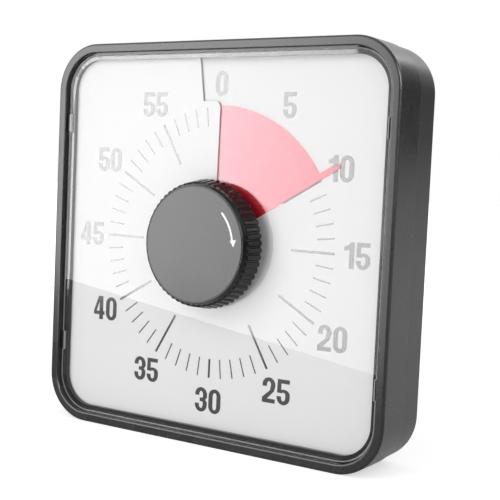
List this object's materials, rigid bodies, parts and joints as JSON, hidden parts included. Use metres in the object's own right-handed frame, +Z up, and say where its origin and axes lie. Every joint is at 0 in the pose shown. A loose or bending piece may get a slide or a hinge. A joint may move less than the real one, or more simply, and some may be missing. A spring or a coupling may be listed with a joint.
{
  "type": "visual countdown timer",
  "caption": "Square desk timer with a clear front, a minute dial, a large ribbed knob and a red disc that shows the time left as a shrinking sector.",
  "frame": {"origin": "middle of the case's flat base, at the middle of the case's depth", "axes": "+X to the right seen from the front, +Y from the front to the back, +Z up"},
  "size_m": [0.19, 0.0484, 0.19],
  "materials": {
    "case_black": "fine moulded texture, satin",
    "clear_lens": "polished clear plastic",
    "dial_white": "smooth printed card",
    "ink": "matt screen print",
    "plate_white": "moulded, satin",
    "steel": "zinc plated",
    "movement_grey": "moulded, satin",
    "iron": "stamped, dark",
    "copper_wire": "enamelled winding",
    "board_green": "solder mask",
    "black_resin": "cast resin",
    "brass": "stamped",
    "cell_jacket": "plain shrink sleeve",
    "nickel_plate": "nickel plated",
    "switch_grey": "moulded",
    "red_lead": "soft insulation",
    "black_lead": "soft insulation",
    "blue_lead": "soft insulation",
    "knob_black": "fine moulded texture, satin",
    "arrow_white": "matt print",
    "wheel_white": "moulded acetal",
    "disc_red": "thin translucent film"
  },
  "bodies": {
    "case": {"front_bezel": "case_black", "rear_housing": "case_black", "lens": "clear_lens", "dial_card": "dial_white", "minute_marks": "ink", "numerals": "ink", "dial_plate": "plate_white", "case_screws": "steel", "movement_base": "movement_grey", "movement_cover": "movement_grey", "movement_screws": "steel", "wheel_pins": "steel", "stator": "iron", "drive_coil": "copper_wire", "circuit_board": "board_green", "quartz_crystal": "steel", "controller_chip": "black_resin", "alarm_contact": "brass", "battery_cell": "cell_jacket", "positive_contact": "nickel_plate", "spring_contact": "nickel_plate", "buzzer_housing": "black_resin", "piezo_disc": "brass", "volume_switch": "switch_grey", "battery_wires": "red_lead", "buzzer_wires": "black_lead", "switch_wires": "blue_lead"},
    "knob": {"knob": "knob_black", "knob_arrow": "arrow_white", "arbor": "steel", "alarm_cam": "wheel_white", "clutch_spring": "brass", "arbor_clip": "steel"},
    "time_disc": {"time_disc": "disc_red", "disc_hub": "plate_white"},
    "first_wheel": {"first_wheel": "wheel_white"},
    "centre_wheel": {"centre_wheel": "brass"},
    "rotor": {"rotor": "iron"},
    "battery_door": {"battery_door": "case_black"},
    "stand": {"stand": "case_black"},
    "volume_slider": {"volume_slider": "switch_grey"}
  },
  "joints": [
    {"name": "knob_turn", "type": "hinge", "parent": "case", "child": "knob", "pos_m": [0, -0.0188, 0.0955], "axis": [0, 1, 0], "range_deg": [-60, 300]},
    {"name": "disc_feed", "type": "slide", "parent": "knob", "child": "time_disc", "axis": [0, -1, 0], "range_m": [-0.00023, 0.00117]},
    {"name": "first_wheel_spin", "type": "hinge", "parent": "case", "child": "first_wheel", "pos_m": [-0.01044, 0, 0.08391], "axis": [0, 1, 0], "continuous": true},
    {"name": "centre_wheel_spin", "type": "hinge", "parent": "case", "child": "centre_wheel", "pos_m": [0, 0, 0.0955], "axis": [0, 1, 0], "continuous": true},
    {"name": "rotor_spin", "type": "hinge", "parent": "case", "child": "rotor", "pos_m": [0.00099, 0, 0.07731], "axis": [0, 1, 0], "continuous": true},
    {"name": "battery_door_hinge", "type": "hinge", "parent": "case", "child": "battery_door", "pos_m": [0, 0.0176, 0.14795], "axis": [1, 0, 0], "range_deg": [0, 95]},
    {"name": "stand_hinge", "type": "hinge", "parent": "case", "child": "stand", "pos_m": [0, 0.01705, 0.099], "axis": [1, 0, 0], "range_deg": [0, 35]},
    {"name": "volume_slide", "type": "slide", "parent": "case", "child": "volume_slider", "axis": [1, 0, 0], "range_m": [-0.003, 0.003]}
  ],
  "couplings": [
    {"joint": "disc_feed", "follows": "knob_turn", "m_per_rad": 0.00022282},
    {"joint": "centre_wheel_spin", "follows": "first_wheel_spin", "ratio": -0.083333},
    {"joint": "rotor_spin", "follows": "first_wheel_spin", "ratio": -10}
  ]
}
